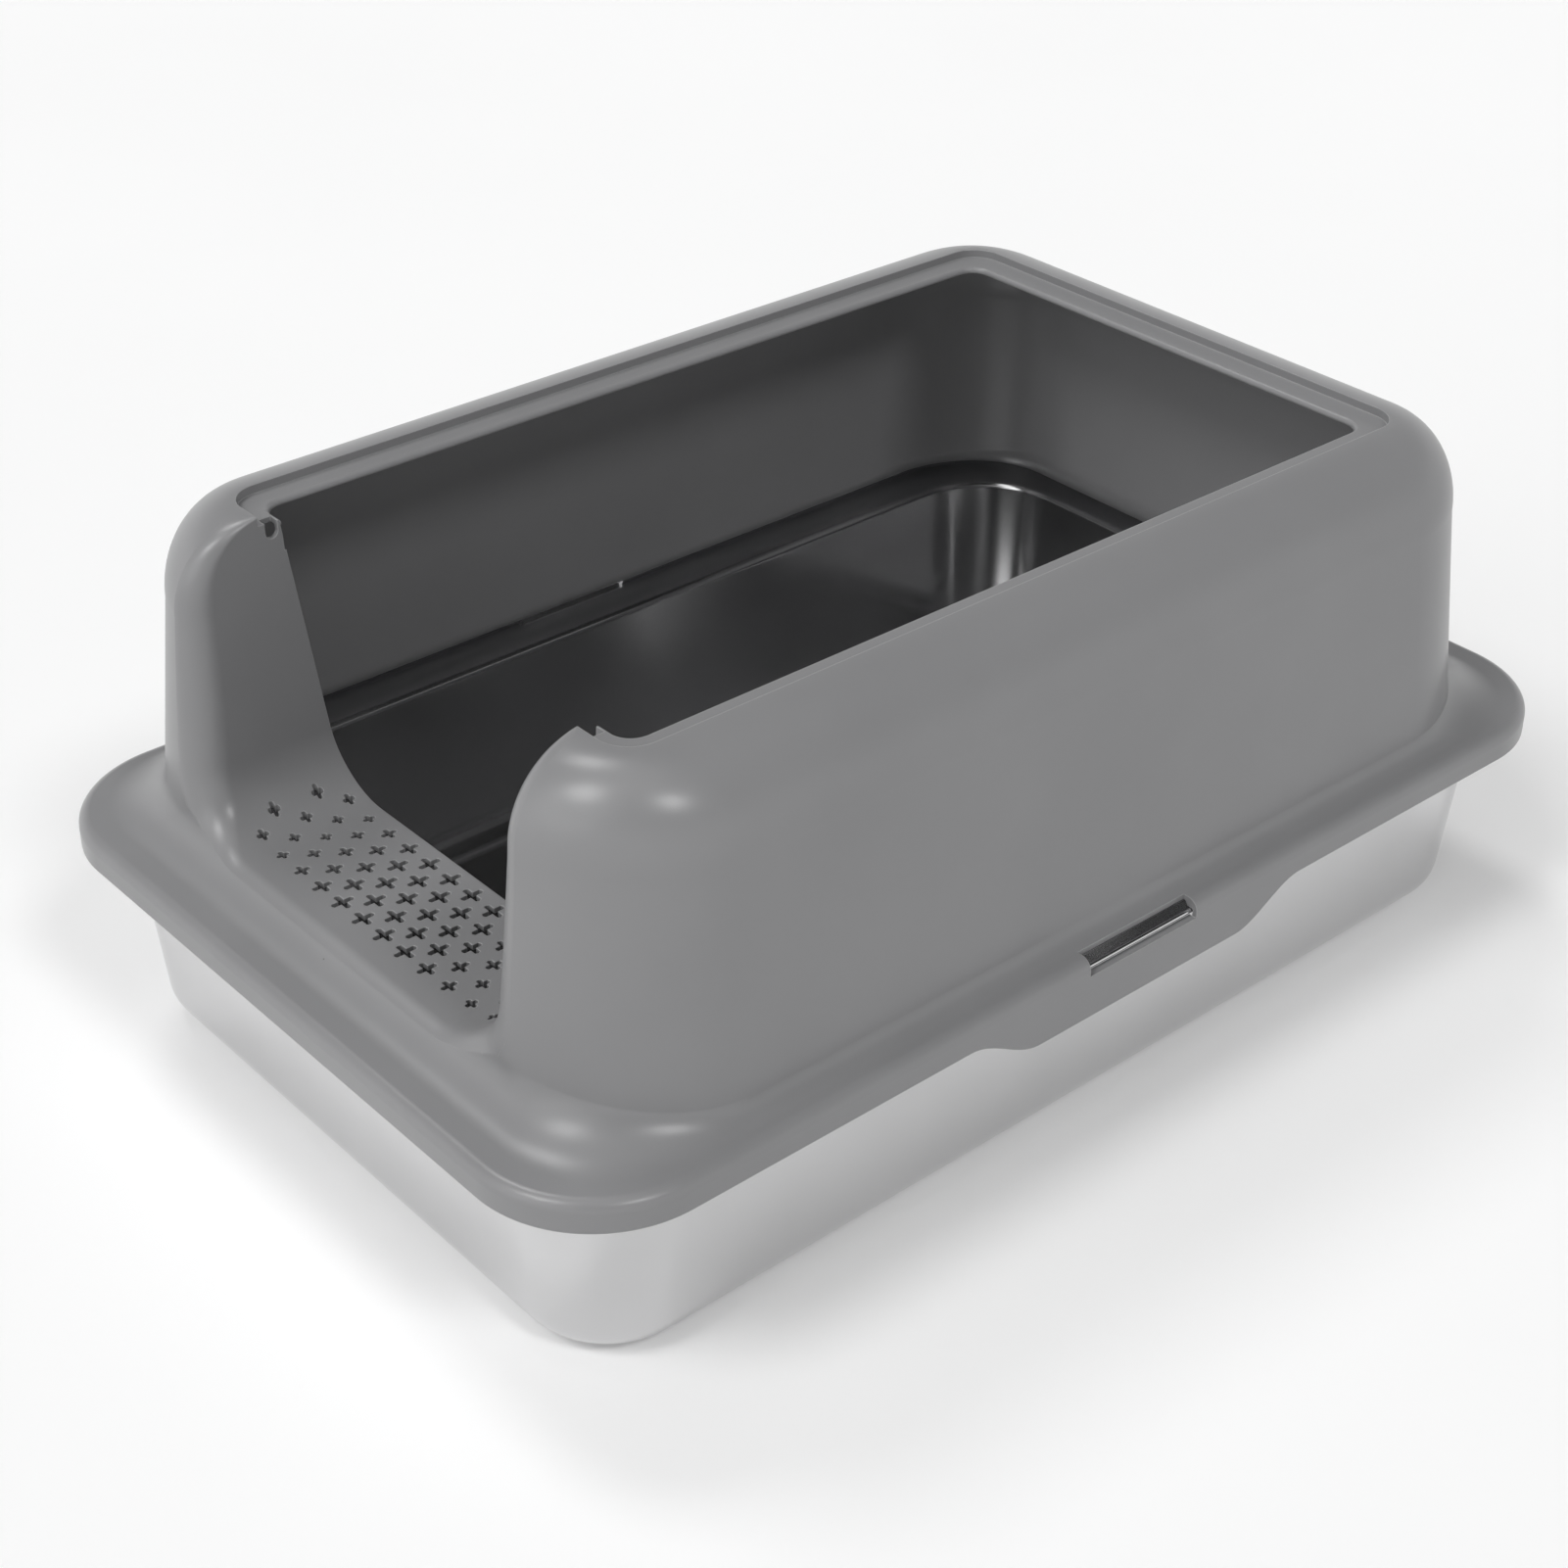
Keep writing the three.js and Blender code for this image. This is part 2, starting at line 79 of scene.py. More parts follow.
# %% Sizes of the enclosure
SKIRT_CORNER = 57.0
SKIRT_DEPTH = 13.6
SKIRT_EDGE_RADIUS = 5.5
SEAT_THICKNESS = 4.6
SEAT_WIDTH = 3.0
SEAT_FILLET = 0.7
SHOULDER_SIDE_X = 15.8
SHOULDER_END_Y = 33.7
ROOT_FILLET_SIDE = 9.0
ROOT_FILLET_END = 20.0
WALL_CORNER = 68.5
CROWN_CORNER = 12.0
WALL_DRAFT = np.radians(4.57)
WALL_RISE = 145.3
CROWN_RADIUS = 38.6
WALLS_FORWARD = 1.6

REBATE_DEPTH = 4.0
REBATE_FROM_CROWN = 0.1
REBATE_CORNER = 15.0
LEDGE_WIDTH_X = 11.8
LEDGE_WIDTH_Y = 13.0
LEDGE_THICKNESS = 2.5
LIP_RADIUS = 2.0
OPENING_CORNER = 9.0
OPENING_FORWARD = 2.0

STEP_RISE = 9.8
STEP_FLAT_X = 71.6
STEP_FILLET = 31.0
STEP_INNER_Y = 197.0
JAMB_DRAFT = np.radians(3.2)
JAMB_LEAN = np.radians(6.6)
FLARE_AT_STEP = 16.0
FLARE_AT_TOP = 9.0

NOTCH_WIDTH = 6.0
NOTCH_DEPTH = 7.4
NOTCH_FROM_OPENING = 5.0
NOTCH_BITE = 1.6

HOLE_PITCH_X = 15.25
HOLE_PITCH_Y = 10.9
HOLE_ROWS = 5
HOLES_IN_LONG_ROW = 13
HOLE_ROWS_FROM_EDGE = 8.5
CROSS_SPAN = 10.8
CROSS_ARM = 2.7
FULL_SIZE_UP_TO = 0.3
SMALLEST_FROM = 0.75
SMALLEST_SHARE = 0.56

TAB_DROP = 15.6
TAB_FLAT_Y = 60.0
TAB_SHOULDER_Y = 100.0
SLOT_HALF_Y = 32.3
SLOT_SILL_RISE = 5.5
SLOT_DEPTH_X = 8.0
HOOK_REACH = 1.6
HOOK_HEIGHT = 4.0
OVERRUN = 12.0
BLEND_BITE = 0.04

# %% Places that follow from the sizes
SKIRT_INNER_X = BEAD_X + BEAD_RADIUS + FIT_GAP
SKIRT_INNER_Y = BEAD_Y + BEAD_RADIUS + FIT_GAP
SKIRT_X = SKIRT_INNER_X + WALL
SKIRT_Y = SKIRT_INNER_Y + WALL
SEAT_HEIGHT = BEAD_HEIGHT + BEAD_RADIUS + FIT_GAP
SHOULDER_HEIGHT = SEAT_HEIGHT + SEAT_THICKNESS
SKIRT_FOOT = SHOULDER_HEIGHT - SKIRT_DEPTH
WALL_ROOT_X = SKIRT_X - SHOULDER_SIDE_X
WALL_ROOT_Y = SKIRT_Y - SHOULDER_END_Y
CROWN_HEIGHT = SHOULDER_HEIGHT + WALL_RISE
CROWN_START = CROWN_HEIGHT - CROWN_RADIUS
LEDGE_HEIGHT = CROWN_HEIGHT - REBATE_DEPTH
CEILING_HEIGHT = LEDGE_HEIGHT - LEDGE_THICKNESS
STEP_HEIGHT = SHOULDER_HEIGHT + STEP_RISE
DRAFT_RUN = CROWN_START - SHOULDER_HEIGHT
CROWN_START_X = WALL_ROOT_X - (DRAFT_RUN - ROOT_FILLET_SIDE) * np.tan(WALL_DRAFT)
CROWN_START_Y = WALL_ROOT_Y - (DRAFT_RUN - ROOT_FILLET_END) * np.tan(WALL_DRAFT)
CROWN_CORNER_SHARE = (WALL_CORNER - CROWN_CORNER) / CROWN_RADIUS
REBATE_X = CROWN_START_X - CROWN_RADIUS - REBATE_FROM_CROWN
REBATE_Y = CROWN_START_Y - CROWN_RADIUS - REBATE_FROM_CROWN
OPENING_X = REBATE_X - LEDGE_WIDTH_X
OPENING_Y = REBATE_Y - LEDGE_WIDTH_Y + OPENING_FORWARD / 2
OPENING_SHIFT = WALLS_FORWARD + OPENING_FORWARD / 2
print("crown at", round(CROWN_HEIGHT, 2), "step at", round(STEP_HEIGHT, 2))

# %% [markdown]
# ## Rings and skins
# Both large pieces are lofts: a stack of rounded rectangles, each a little larger, smaller
# or higher than the last. A whole stack is one numpy array, rings by points by xyz, and
# a skin joins each ring to the next one with quads. A box with subdivision could be pulled
# into nearly the same shapes, but here every corner has its true radius.

# %% Rings of rounded rectangles
CORNER_STEPS = 28


def rings(x, y, corner, side, end=None, forward=0.0):
    """Rounded rectangles, anticlockwise from above, as an array (rings, points, 3).

    Round a corner the angle a runs through a quarter turn. The place is
    (x - c) + c cos a, (y - c) + c sin a, where c is the corner radius. The height eases
    from `side` on the long sides to `end` on the ends with the share sin(a) squared.
    """
    end = side if end is None else end
    sizes = np.broadcast_arrays(*np.atleast_1d(x, y, corner, side, end, forward))
    x, y, corner, side, end, forward = (value[:, None] for value in sizes)
    quarter = np.repeat(np.arange(4), CORNER_STEPS + 1)
    angle = (quarter + np.tile(np.linspace(0, 1, CORNER_STEPS + 1), 4)) * np.pi / 2
    sign_x = np.where((quarter == 0) | (quarter == 3), 1.0, -1.0)
    sign_y = np.where(quarter < 2, 1.0, -1.0)
    at_end = np.sin(angle) ** 2
    return np.stack([
        sign_x * (x - corner) + corner * np.cos(angle),
        sign_y * (y - corner) + corner * np.sin(angle) - forward,
        side * (1 - at_end) + end * at_end,
    ], axis=-1)


def arc(centre_out, centre_high, radius, start, stop, steps):
    """Points of an arc in a profile: centre + radius (cos a, sin a), as (steps + 1, 2)."""
    angle = np.linspace(start, stop, steps + 1)
    return np.stack([centre_out + radius * np.cos(angle), centre_high + radius * np.sin(angle)], 1)


# %% From points and faces to a solid
def solid(name, points, faces):
    """A new object. The points are lifted by the feet, and millimetres become metres."""
    mesh = bpy.data.meshes.new(name)
    mesh.from_pydata((points + np.array([0.0, 0.0, FOOT_HEIGHT])) * METRE, [], faces)
    mesh.validate()
    return bpy.data.objects.new(name, mesh)


def skin(name, stack):
    """A closed mesh: a quad for each step along and between rings, and a flat cap at each end.

    Point i of ring k has the number k n + i, so a quad is i, i + 1, and the same in the
    next ring.
    """
    count = stack.shape[1]
    number = np.arange(stack.shape[0] * count).reshape(stack.shape[:2])
    here = number[:-1]
    above = number[1:]
    quads = np.stack([here, np.roll(here, -1, 1), np.roll(above, -1, 1), above], -1)
    faces = quads.reshape(-1, 4).tolist()
    faces.append(number[0][::-1].tolist())
    faces.append(number[-1].tolist())
    return solid(name, stack.reshape(-1, 3), faces)


def prisms(name, outlines, low, high, axes=(0, 1, 2)):
    """Straight prisms with flat ends: each outline is (points, 2), carried from low to high.

    `axes` says which of x, y and z the outline's two directions and the carrying use.
    """
    count = outlines.shape[1]
    ends = [np.full(outlines.shape[:2], level) for level in (low, high)]
    layers = [np.concatenate([outlines, end[..., None]], -1) for end in ends]
    points = np.stack(layers, 1).reshape(-1, 3)[:, np.argsort(axes)]
    first = np.arange(len(outlines)) * 2 * count
    ring = np.arange(count)
    side = np.stack([ring, np.roll(ring, -1), np.roll(ring, -1) + count, ring + count], -1)
    quads = (first[:, None, None] + side).reshape(-1, 4).tolist()
    caps = (first[:, None] + ring[::-1]).tolist() + (first[:, None] + ring + count).tolist()
    return solid(name, points, quads + caps)


# %% [markdown]
# ## The steel pan
# The real pan is one sheet of stainless steel, drawn down in a press. Its rim turns out
# into a sloping flange, and the raw edge is rolled into a small bead that is kind to hands.
# The section of the sheet is one closed profile: up the outside, round the bead and back
# down the inside. Carried round the rounded rectangle it makes the whole pan at once. A
# thin surface with a Solidify modifier would do for the sheet, but not for its round bead.

# %% The pan's section
FLOOR_STEPS = 20
CREASE_STEPS = 8
BEAD_STEPS = 24


def bend(corner, before, after, reach, steps):
    """A soft corner: the curve (1-t)^2 A + 2 t (1-t) C + t^2 B from A to B, bent towards C."""
    share = np.linspace(0, 1, steps + 1)[:, None]
    start = corner - reach * before
    stop = corner + reach * after
    return (1 - share) ** 2 * start + 2 * share * (1 - share) * corner + share ** 2 * stop


def crossing(point_a, along_a, point_b, along_b):
    """Where two lines of the profile cross: a + s u = b + t v, solved for s."""
    solved = np.linalg.solve(np.stack([along_a, -along_b], 1), point_b - point_a)
    return point_a + solved[0] * along_a


def pan_side(inward):
    """One side of the sheet, from the floor to the root of the bead, moved in by `inward`.

    The floor's fillet touches the floor and the wall, which leans out by the draft d. So its
    centre lies r (1/cos d - tan d) inside the wall's foot, and r above it. The crease at the
    mouth is a soft corner where the lines of the wall and the flange cross.
    """
    up = np.array([np.sin(PAN_DRAFT), np.cos(PAN_DRAFT)])
    out = np.array([np.cos(FLANGE_SLOPE), np.sin(FLANGE_SLOPE)])
    into_pan = np.array([-up[1], up[0]])
    above_flange = np.array([-out[1], out[0]])
    mouth = np.array([MOUTH_OUT, MOUTH_HEIGHT])
    corner = crossing(mouth + inward * into_pan, up, mouth + inward * above_flange, out)
    centre = PAN_FLOOR_FILLET * (np.tan(PAN_DRAFT) - 1 / np.cos(PAN_DRAFT))
    floor = arc(
        centre, PAN_FLOOR_FILLET, PAN_FLOOR_FILLET - inward, -np.pi / 2, -PAN_DRAFT, FLOOR_STEPS,
    )
    return np.concatenate([floor, bend(corner, up, out, MOUTH_FILLET + inward, CREASE_STEPS)])


bead_root = np.arcsin(SHEET / 2 / BEAD_RADIUS)
bead = arc(
    MOUTH_OUT + FLANGE_REACH_X, BEAD_HEIGHT, BEAD_RADIUS,
    FLANGE_SLOPE - np.pi + bead_root, FLANGE_SLOPE + np.pi - bead_root, BEAD_STEPS,
)
section = np.concatenate([pan_side(0.0), bead, pan_side(SHEET)[::-1]])
print("points round the sheet's section:", len(section))

# %% Carry the section round the pan
reach = np.maximum(0.0, section[:, 0] - MOUTH_OUT) / FLANGE_REACH_X
pan_stack = rings(
    x=PAN_FOOT_X + section[:, 0],
    y=PAN_FOOT_Y + section[:, 0] + reach * (FLANGE_REACH_Y - FLANGE_REACH_X),
    corner=PAN_FOOT_CORNER + section[:, 0] + reach * (FLANGE_CORNER_GROWTH - FLANGE_REACH_X),
    side=section[:, 1],
)
pan = skin("pressed_pan", pan_stack)
print("pan faces:", len(pan.data.polygons))

# %% [markdown]
# ## The enclosure
# The real one is a single injection moulding with a wall about 2.4 mm thick. A mould maker
# would build it as an outer body, take away the hollow that leaves the wall, and sweep the
# entrance through the front. We work each body out as a fine grid and let the Boolean
# modifier do the cutting, because the cuts meet along curves that no single grid could
# follow.

# %% The outer body and the hollow under it
ROOT_STEPS = 20
CROWN_STEPS = 28
EDGE_STEPS = 10


def wall_rings(inward):
    """The root fillet, the drafted walls and the crown, moved in by `inward`.

    The root fillet is a quarter circle, concave, with its own radius on the long sides and
    on the ends. The crown is a convex quarter circle, over which the corner tightens.
    """
    turn = np.linspace(0, np.pi / 2, ROOT_STEPS + 1)
    share = 1 - np.cos(turn)
    shoulder_corner = SKIRT_CORNER - SKIRT_EDGE_RADIUS
    side_radius = ROOT_FILLET_SIDE + inward
    end_radius = ROOT_FILLET_END + inward
    root = rings(
        x=WALL_ROOT_X + ROOT_FILLET_SIDE - side_radius * np.sin(turn),
        y=WALL_ROOT_Y + ROOT_FILLET_END - end_radius * np.sin(turn),
        corner=shoulder_corner + (WALL_CORNER - shoulder_corner) * share - inward,
        side=SHOULDER_HEIGHT + ROOT_FILLET_SIDE - side_radius * np.cos(turn),
        end=SHOULDER_HEIGHT + ROOT_FILLET_END - end_radius * np.cos(turn),
        forward=WALLS_FORWARD * share,
    )
    crown = arc(-CROWN_RADIUS, CROWN_START, CROWN_RADIUS - inward, 0, np.pi / 2, CROWN_STEPS)
    top = rings(
        x=CROWN_START_X + crown[:, 0],
        y=CROWN_START_Y + crown[:, 0],
        corner=WALL_CORNER - inward + (crown[:, 0] + inward) * CROWN_CORNER_SHARE,
        side=crown[:, 1],
        forward=WALLS_FORWARD,
    )
    return np.concatenate([root, top])


def outer_body():
    """The skirt with its rounded edge, the shoulder, the walls and the crown, all filled."""
    edge = arc(
        -SKIRT_EDGE_RADIUS, SHOULDER_HEIGHT - SKIRT_EDGE_RADIUS, SKIRT_EDGE_RADIUS,
        0, np.pi / 2, EDGE_STEPS,
    )
    skirt = np.concatenate([[[0.0, SKIRT_FOOT]], edge])
    skirt_stack = rings(
        SKIRT_X + skirt[:, 0], SKIRT_Y + skirt[:, 0], SKIRT_CORNER + skirt[:, 0], skirt[:, 1],
    )
    return skin("outer_body", np.concatenate([skirt_stack, wall_rings(0.0)]))


def inner_hollow():
    """What the wall encloses: the skirt's inside, the seat on the bead, and the room above."""
    skirt = np.array([
        [0.0, SKIRT_FOOT - OVERRUN],
        [0.0, SEAT_HEIGHT - SEAT_FILLET],
        [-SEAT_FILLET, SEAT_HEIGHT],
        [-SEAT_WIDTH, SEAT_HEIGHT],
    ])
    skirt_stack = rings(
        SKIRT_INNER_X + skirt[:, 0], SKIRT_INNER_Y + skirt[:, 0],
        SKIRT_CORNER - WALL + skirt[:, 0], skirt[:, 1],
    )
    walls = wall_rings(WALL)
    walls[..., 2] = np.minimum(walls[..., 2], CEILING_HEIGHT)
    return skin("inner_hollow", np.concatenate([skirt_stack, walls]))


# %% [markdown]
# ## The entrance
# The entrance is the hard part: a trough with leaning jambs and a step, whose rim flares
# into the front wall like the bell of a trumpet. A Bevel modifier gives one radius all
# along an edge, and this one shrinks from the step to the top while the wall behind it
# curves. So the flare is worked out: each place round the trough turns outwards on its own
# radius, until it meets the front wall at the wall's own slope.

# %% How far forward the front wall stands
def front_reach(x, height):
    """The front wall's distance from the middle at a place across it and a height.

    Above the root fillet it leans back with the draft, and over the crown it draws in by
    r - sqrt(r^2 - h^2). In the root fillet it comes forward in the same way. Past the
    start of a corner it falls back by c - sqrt(c^2 - d^2).
    """
    root_top = SHOULDER_HEIGHT + ROOT_FILLET_END
    lean = np.clip(height - root_top, 0.0, CROWN_START - root_top) * np.tan(WALL_DRAFT)
    below = np.clip(root_top - height, 0.0, ROOT_FILLET_END)
    above = np.clip(height - CROWN_START, 0.0, CROWN_RADIUS)
    root = ROOT_FILLET_END - np.sqrt(ROOT_FILLET_END ** 2 - below ** 2)
    drawn_in = CROWN_RADIUS - np.sqrt(CROWN_RADIUS ** 2 - above ** 2)
    corner = WALL_CORNER - drawn_in * CROWN_CORNER_SHARE
    half = WALL_ROOT_X - lean - drawn_in
    past = np.clip(np.abs(x) - (half - corner), 0.0, corner)
    fall = corner - np.sqrt(corner ** 2 - past ** 2)
    return WALL_ROOT_Y - lean - drawn_in + root + WALLS_FORWARD - fall


# %% The entrance channel
STEP_STEPS = 28
FLARE_STEPS = 20
JAMB_LEVELS = 6
HALVINGS = 40
WIDEST_TURN = np.radians(100)
LEAST_DROP = 1e-9


def channel_outline():
    """The U of the channel across the box: places (x, height) and the directions out of it.

    It runs round the step's right fillet, up the leaning jamb, and the left half mirrors it.
    """
    angle = np.linspace(-np.pi / 2, -JAMB_DRAFT, STEP_STEPS + 1)
    turned = np.stack([np.cos(angle), np.sin(angle)], 1)
    fillet = np.array([STEP_FLAT_X, STEP_HEIGHT + STEP_FILLET]) + STEP_FILLET * turned
    jamb_foot = fillet[-1]
    jamb = np.linspace(jamb_foot[1], CROWN_START, JAMB_LEVELS, endpoint=False)[1:]
    crown = CROWN_START + CROWN_RADIUS * np.sin(np.linspace(0, np.pi / 2, CROWN_STEPS + 1))
    heights = np.concatenate([jamb, crown, [CROWN_HEIGHT + OVERRUN]])
    across = jamb_foot[0] + (heights - jamb_foot[1]) * np.tan(JAMB_DRAFT)
    right = np.concatenate([fillet, np.stack([across, heights], 1)])
    right_out = np.concatenate([turned, np.repeat(turned[-1:], len(heights), 0)])
    mirror = np.array([-1.0, 1.0])
    places = np.concatenate([right, (right * mirror)[::-1]])
    return places, np.concatenate([right_out, (right_out * mirror)[::-1]])


def flares(places, outward):
    """Each place's flare: its radius, where it starts, and how far it turns.

    The radius eases from the step to the top with the square of the height's share. The turn
    t is found by halving: the flare's end lies r (1 - cos t) out, and the flare is right
    when its direction there is the front wall's own slope. A flare that runs downwards has
    only the room above the shoulder, which limits its turn.
    """
    rise = np.clip((places[:, 1] - STEP_HEIGHT) / (LEDGE_HEIGHT - STEP_HEIGHT), 0, 1)
    radius = FLARE_AT_STEP + (FLARE_AT_TOP - FLARE_AT_STEP) * rise ** 2
    drop = np.maximum(-outward[:, 1], LEAST_DROP)
    room = np.where(outward[:, 1] < 0, (places[:, 1] - SHOULDER_HEIGHT) / drop, np.inf)
    least = np.zeros(len(places))
    most = np.where(room < radius, np.arccos(np.clip(1 - room / radius, -1, 1)), WIDEST_TURN)
    for _ in range(HALVINGS):
        turn = (least + most) / 2
        end = places + outward * (radius * (1 - np.cos(turn)))[:, None]
        beyond = end + outward * BLEND_BITE
        slope = (front_reach(*beyond.T) - front_reach(*end.T)) / BLEND_BITE
        short = turn < np.arctan2(1.0, slope)
        least = np.where(short, turn, least)
        most = np.where(short, most, turn)
    start = front_reach(*end.T) - BLEND_BITE - radius * np.sin(most)
    return radius, start, most


def channel(name, grown, inner_end):
    """The channel as a solid, or grown by a wall for the plastic round it.

    A ring of the flare at angle a lies r - (r - g) cos a out from the channel and
    (r - g) sin a forward of the flare's start, where g is how much it is grown. The stack
    starts with a ring at `inner_end`, a function of the height, and ends in front of the box.
    """
    places, outward = channel_outline()
    radius, start, turn = flares(places, outward)
    angle = turn * np.linspace(0, 1, FLARE_STEPS + 1)[:, None]
    away = radius - (radius - grown) * np.cos(angle)
    across, height = np.moveaxis(places + outward * away[..., None], -1, 0)
    flare = np.stack([across, -start - (radius - grown) * np.sin(angle), height], -1)
    across, height = (places + outward * grown).T
    inner_ring = np.stack([across, inner_end(height), height], -1)
    front_ring = flare[-1] * [1, 0, 1] - [0, SKIRT_Y + OVERRUN, 0]
    return skin(name, np.stack([inner_ring, *flare, front_ring]))


def free_edge(height):
    """The inner edge of the plastic leans back by tan(lean) of the height above the step."""
    return -STEP_INNER_Y - (height - STEP_HEIGHT) * np.tan(JAMB_LEAN)


def inner_overrun(height):
    """The cut for the channel runs past the step's inner edge at every height."""
    return np.full(len(height), OVERRUN - STEP_INNER_Y)


# %% [markdown]
# ## The smaller cuts and the snap fits
# A cover could lie in the rebate round the top opening. The crosses in the step let litter
# fall back into the pan, and the tabs and hooks hold the enclosure down on the bead. Slides
# and pins of the mould form all of these, so nearly every one is a straight prism, and an
# outline and two levels are enough for it.

# %% The rebate and the opening in the top
LIP_STEPS = 8


def rebate():
    """The room that a cover takes up, from the ledge upwards."""
    heights = np.array([LEDGE_HEIGHT, CROWN_HEIGHT + OVERRUN])
    return skin("rebate", rings(REBATE_X, REBATE_Y, REBATE_CORNER, heights, forward=WALLS_FORWARD))


def top_opening():
    """The opening's edge is rolled over with a small quarter circle."""
    lip = arc(LIP_RADIUS, LEDGE_HEIGHT - LIP_RADIUS, LIP_RADIUS, np.pi, np.pi / 2, LIP_STEPS)
    profile = np.concatenate([
        [[0.0, CEILING_HEIGHT - OVERRUN]], lip, [[LIP_RADIUS, CROWN_HEIGHT + OVERRUN]],
    ])
    return skin("top_opening", rings(
        OPENING_X + profile[:, 0], OPENING_Y + profile[:, 0], OPENING_CORNER + profile[:, 0],
        profile[:, 1], forward=OPENING_SHIFT,
    ))


# %% The notches, the crosses in the step, and the snap fits
ROUND_STEPS = 16
TAB_STEPS = 24


def jamb_notches():
    """A round-bottomed slot through the top of each jamb."""
    middle = -OPENING_Y - OPENING_SHIFT - NOTCH_FROM_OPENING
    half = NOTCH_WIDTH / 2
    bottom = arc(middle, LEDGE_HEIGHT - NOTCH_DEPTH + half, half, np.pi, 2 * np.pi, ROUND_STEPS)
    above = CROWN_HEIGHT + OVERRUN
    outline = np.concatenate([bottom, [[middle + half, above], [middle - half, above]]])[None]
    jamb_top = channel_outline()[0][:, 0].max()
    near = jamb_top - OVERRUN
    far = jamb_top + WALL + NOTCH_BITE
    return [
        prisms("right_notch", outline, near, far, axes=(1, 2, 0)),
        prisms("left_notch", outline, -far, -near, axes=(1, 2, 0)),
    ]


def step_holes():
    """Staggered rows of crosses, which shrink towards the jambs.

    A cross is one arm's four corners, turned four times. With the angle a, a corner
    (u, v) goes to u cos a - v sin a and u sin a + v cos a.
    """
    outlines = []
    widest = (HOLES_IN_LONG_ROW - 1) / 2 * HOLE_PITCH_X
    for row in range(HOLE_ROWS):
        count = HOLES_IN_LONG_ROW - 1 if row % 2 == 0 else HOLES_IN_LONG_ROW
        y = -STEP_INNER_Y - HOLE_ROWS_FROM_EDGE - (HOLE_ROWS - 1 - row) * HOLE_PITCH_Y
        x = (np.arange(count) - (count - 1) / 2) * HOLE_PITCH_X
        outward = (np.abs(x) / widest - FULL_SIZE_UP_TO) / (SMALLEST_FROM - FULL_SIZE_UP_TO)
        share = 1 - (1 - SMALLEST_SHARE) * np.clip(outward, 0, 1)
        arm = CROSS_ARM / 2 * (1 + share) / 2
        tip = CROSS_SPAN / 2 * share
        along = np.stack([arm, tip - arm / 2, tip, tip - arm / 2], 1)
        across = np.stack([-arm, -arm, arm * 0, arm], 1)
        turns = np.arange(4)[:, None] * np.pi / 2
        cross_x = along[:, None] * np.cos(turns) - across[:, None] * np.sin(turns)
        cross_y = along[:, None] * np.sin(turns) + across[:, None] * np.cos(turns)
        crosses = np.stack([cross_x.reshape(count, -1), cross_y.reshape(count, -1)], -1)
        outlines.append(crosses + np.stack([x, np.full(count, y)], 1)[:, None])
    low, high = STEP_HEIGHT - OVERRUN, STEP_HEIGHT + STEP_FILLET
    return prisms("step_holes", np.concatenate(outlines), low, high)


def snap_tabs():
    """The skirt drops in the middle of each long side, along an easing curve.

    The drop follows 3 s^2 - 2 s^3 of the way s from the tab's shoulder to its flat.
    """
    share = np.linspace(0, 1, TAB_STEPS + 1)
    y = -TAB_SHOULDER_Y + (TAB_SHOULDER_Y - TAB_FLAT_Y) * share
    high = SKIRT_FOOT - TAB_DROP * (3 * share ** 2 - 2 * share ** 3)
    lower = np.stack([y, high], 1)
    upper = np.array([[TAB_SHOULDER_Y, SKIRT_FOOT + WALL], [-TAB_SHOULDER_Y, SKIRT_FOOT + WALL]])
    outline = np.concatenate([lower, lower[::-1] * [-1, 1], upper])[None]
    return [
        prisms("right_tab", outline, SKIRT_INNER_X, SKIRT_X, axes=(1, 2, 0)),
        prisms("left_tab", outline, -SKIRT_X, -SKIRT_INNER_X, axes=(1, 2, 0)),
    ]


def snap_hooks():
    """A wedge under the bead on each long side: its top is flat, and its face slopes."""
    sill = SKIRT_FOOT + SLOT_SILL_RISE
    wedge = np.array([
        [SKIRT_X - WALL / 2, sill],
        [SKIRT_X - WALL / 2, sill - HOOK_HEIGHT],
        [SKIRT_INNER_X, sill - HOOK_HEIGHT],
        [SKIRT_INNER_X - HOOK_REACH, sill],
    ])
    mirrored = (wedge * [-1, 1])[::-1]
    return [
        prisms("right_hook", wedge[None], -SLOT_HALF_Y, SLOT_HALF_Y, axes=(0, 2, 1)),
        prisms("left_hook", mirrored[None], -SLOT_HALF_Y, SLOT_HALF_Y, axes=(0, 2, 1)),
    ]


def slot_windows():
    """A box through the skirt's shoulder, open to the side and the top."""
    near = SKIRT_X - SLOT_DEPTH_X
    far = SKIRT_X + OVERRUN
    box = np.array([
        [near, -SLOT_HALF_Y], [far, -SLOT_HALF_Y], [far, SLOT_HALF_Y], [near, SLOT_HALF_Y],
    ])
    boxes = np.stack([box, -box])
    return prisms("slot_windows", boxes, SKIRT_FOOT + SLOT_SILL_RISE, SHOULDER_HEIGHT + OVERRUN)


# %% [markdown]
# ## Cut and join
# Boolean modifiers cut first the entrance and the hollow, then the openings. Then they join
# the tabs and hooks on and cut the slot windows down to the hooks' flat tops. The manifold
# solver needs closed meshes, which ours all are, and in return it is fast and leaves a closed
# mesh. The shading is smooth, but real creases stay.

